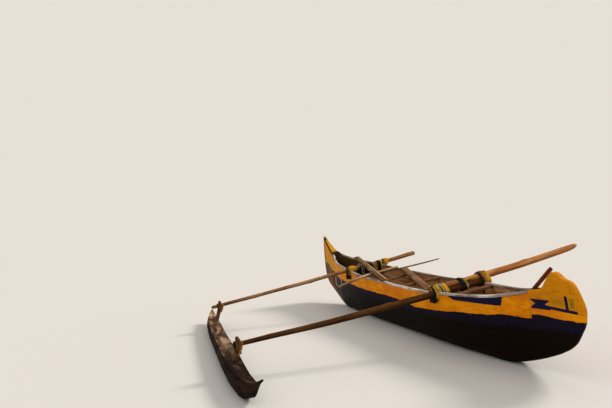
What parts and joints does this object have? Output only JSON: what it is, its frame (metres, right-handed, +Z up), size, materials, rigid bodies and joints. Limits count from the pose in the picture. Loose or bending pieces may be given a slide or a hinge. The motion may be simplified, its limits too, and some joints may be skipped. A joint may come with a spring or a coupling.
{
  "type": "outrigger canoe",
  "caption": "Long narrow dugout canoe with raised plank sides, crossing booms lashed over the hull and a pointed log float to port.",
  "frame": {"origin": "centre of the footprint on the ground", "axes": "+X along the hull to the bow, +Y to the float, +Z up"},
  "size_m": [6.05, 4.0412, 1.2106],
  "materials": {
    "hull_dark": "worn navy and black paint on wood",
    "yellow_paint": "worn orange-yellow paint on planks",
    "rail_wood": "weathered grey wood",
    "bare_wood": "weathered brown wood",
    "pole_wood": "bark-stripped pole, satin",
    "balance_wood": "reddish brown pole, satin",
    "pale_wood": "pale dry pole",
    "dark_wood": "dark weathered pole",
    "red_wood": "reddish brown wood",
    "driftwood": "grey-brown weathered log",
    "rope": "twisted fibre rope"
  },
  "bodies": {
    "root": {"hull_base": "hull_dark", "stern_block": "yellow_paint", "bow_block": "yellow_paint", "port_washstrake": "yellow_paint", "starboard_washstrake": "yellow_paint", "port_stern_patch": "yellow_paint", "starboard_stern_patch": "yellow_paint", "port_aft_rail": "rail_wood", "port_main_rail": "rail_wood", "starboard_aft_rail": "rail_wood", "starboard_main_rail": "rail_wood", "fore_crossbar": "bare_wood", "aft_crossbar": "bare_wood", "fore_thwart": "bare_wood", "middle_thwart": "bare_wood", "aft_thwart": "bare_wood", "fore_boom": "pole_wood", "aft_boom": "pole_wood", "aft_balance_pole": "balance_wood", "fore_port_lashing": "rope", "fore_starboard_lashing": "rope", "aft_port_lashing": "rope", "aft_middle_lashing": "rope", "aft_starboard_lashing": "rope", "fore_boom_wrap": "rope", "fore_float_lashing": "rope", "aft_float_lashing": "rope", "boom_cord_loop": "rope", "fore_board": "bare_wood", "aft_board": "bare_wood", "light_pole": "pale_wood", "thin_pole": "dark_wood", "steering_paddle": "red_wood", "float_log": "driftwood", "fore_float_post": "driftwood", "aft_float_post": "driftwood"}
  },
  "joints": []
}
